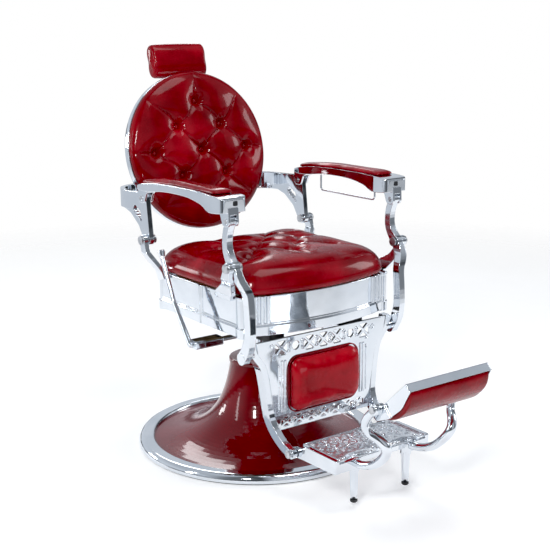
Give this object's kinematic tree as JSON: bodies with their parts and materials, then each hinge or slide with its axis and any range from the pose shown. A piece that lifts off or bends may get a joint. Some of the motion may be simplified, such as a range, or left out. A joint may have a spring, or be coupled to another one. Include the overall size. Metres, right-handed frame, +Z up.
{
  "type": "hydraulic barber chair",
  "caption": "Barber chair with round tufted back, lift column on a round base, arms and leg rest that move with the recline, and a flip-over footrest.",
  "frame": {"origin": "centre of the base's floor face", "axes": "+Z up, -Y the way the chair faces, +X the sitter's left"},
  "size_m": [0.7099, 1.2447, 1.1446],
  "materials": {
    "chrome": "mirror-polished chrome plate on castings and tubes",
    "red_enamel": "deep glossy red enamel",
    "red_leather": "glossy antiqued red upholstery leather",
    "black_rubber": "matt black rubber",
    "dark_iron": "black-painted cast iron and steel",
    "steel": "ground steel",
    "plywood": "bare birch plywood",
    "black_plastic": "fine-textured black plastic"
  },
  "bodies": {
    "base": {"floor_pad": "black_rubber", "base_plate": "dark_iron", "base_trim_ring": "chrome", "base_cover": "red_enamel", "pedestal_collar": "red_enamel", "pump_body": "dark_iron", "pump_cylinder": "steel", "base_bolts": "steel", "pedal_pin": "steel"},
    "pedal": {"pump_pedal": "steel", "pedal_pad": "black_rubber"},
    "plunger": {"pump_plunger": "steel"},
    "column": {"lift_piston": "chrome", "swivel_bearing": "steel"},
    "seat": {"seat_carrier": "dark_iron", "seat_frame": "dark_iron", "skirt_front": "chrome", "skirt_sides": "chrome", "skirt_rear": "chrome", "corner_posts": "chrome", "seat_board": "plywood", "seat_cushion": "red_leather", "front_brackets": "chrome", "rear_brackets": "chrome", "pivot_pins": "steel", "lock_cylinder": "steel"},
    "lock": {"lock_rod": "steel"},
    "lever": {"lever_arm": "chrome", "lever_knob": "chrome", "lever_clamp": "chrome", "lever_shaft": "steel"},
    "back": {"back_plate_left": "chrome", "back_plate_right": "chrome", "back_crossbar": "dark_iron", "back_shell": "chrome", "back_cushion": "red_leather", "headrest_socket": "chrome"},
    "clamp_knob": {"headrest_knob": "black_plastic"},
    "headrest_post": {"headrest_bar": "chrome"},
    "headrest": {"headrest_board": "dark_iron", "headrest_cushion": "red_leather"},
    "left_arm": {"arm_left": "chrome", "arm_pad_left": "red_leather", "arm_pins_left": "steel", "towel_bar": "chrome"},
    "right_arm": {"arm_right": "chrome", "arm_pad_right": "red_leather", "arm_pins_right": "steel"},
    "legrest": {"leg_posts": "chrome", "legrest_rails": "chrome", "legrest_panel": "chrome", "calf_pad": "red_leather"},
    "footrest": {"footplate_frame": "chrome", "foot_grille": "chrome", "lyre_arms": "chrome", "foot_legs": "chrome", "leg_tips": "black_rubber", "foot_hinge_pins": "steel"},
    "flip_pad": {"flip_tray": "chrome", "flip_cushion": "red_leather"}
  },
  "joints": [
    {"name": "seat_lift", "type": "slide", "parent": "base", "child": "column", "axis": [0, 0, 1], "range_m": [0, 0.15]},
    {"name": "seat_swivel", "type": "hinge", "parent": "column", "child": "seat", "pos_m": [0, 0, 0.4], "axis": [0, 0, 1], "continuous": true},
    {"name": "back_recline", "type": "hinge", "parent": "seat", "child": "back", "pos_m": [0, 0.134, 0.615], "axis": [-1, 0, 0], "range_deg": [0, 40]},
    {"name": "legrest_swing", "type": "hinge", "parent": "seat", "child": "legrest", "pos_m": [0, -0.289, 0.608], "axis": [-1, 0, 0], "range_deg": [0, 40]},
    {"name": "arm_left_level", "type": "hinge", "parent": "back", "child": "left_arm", "pos_m": [0.275, 0.148, 0.733], "axis": [-1, 0, 0], "range_deg": [-40, 0]},
    {"name": "arm_right_level", "type": "hinge", "parent": "back", "child": "right_arm", "pos_m": [-0.275, 0.148, 0.733], "axis": [-1, 0, 0], "range_deg": [-40, 0]},
    {"name": "lock_slide", "type": "slide", "parent": "seat", "child": "lock", "axis": [0, -1, 0], "range_m": [0, 0.162]},
    {"name": "lever_pull", "type": "hinge", "parent": "seat", "child": "lever", "pos_m": [0, -0.124, 0.372], "axis": [-1, 0, 0], "range_deg": [0, 15], "stiffness_Nm_per_rad": 6, "springref_deg": -14.32},
    {"name": "headrest_slide", "type": "slide", "parent": "back", "child": "headrest_post", "axis": [0, 0.2079, 0.9781], "range_m": [0, 0.09]},
    {"name": "headrest_tilt", "type": "hinge", "parent": "headrest_post", "child": "headrest", "pos_m": [0, 0.44947, 1.08525], "axis": [-1, 0, 0], "range_deg": [-8, 20]},
    {"name": "clamp_knob_turn", "type": "hinge", "parent": "back", "child": "clamp_knob", "pos_m": [0, 0.42793, 0.98248], "axis": [0, 0.9781, -0.2079], "range_deg": [0, 360]},
    {"name": "footplate_fold", "type": "hinge", "parent": "legrest", "child": "footrest", "pos_m": [0, -0.385, 0.115], "axis": [-1, 0, 0], "range_deg": [0, 30]},
    {"name": "flip_pad_turn", "type": "hinge", "parent": "footrest", "child": "flip_pad", "pos_m": [0, -0.68, 0.317], "axis": [-1, 0, 0], "range_deg": [0, 120]},
    {"name": "pedal_press", "type": "hinge", "parent": "base", "child": "pedal", "pos_m": [0.05934, 0.08049, 0.06], "axis": [-0.8049, 0.5934, 0], "range_deg": [0, 9], "stiffness_Nm_per_rad": 12, "springref_deg": -22.92},
    {"name": "plunger_push", "type": "slide", "parent": "base", "child": "plunger", "axis": [0, 0, -1], "range_m": [0, 0.0045]}
  ],
  "couplings": [
    {"joint": "legrest_swing", "follows": "back_recline", "ratio": 1},
    {"joint": "arm_left_level", "follows": "back_recline", "ratio": -1},
    {"joint": "arm_right_level", "follows": "back_recline", "ratio": -1},
    {"joint": "lock_slide", "follows": "back_recline", "m_per_rad": 0.23026},
    {"joint": "plunger_push", "follows": "pedal_press", "m_per_rad": 0.028}
  ]
}
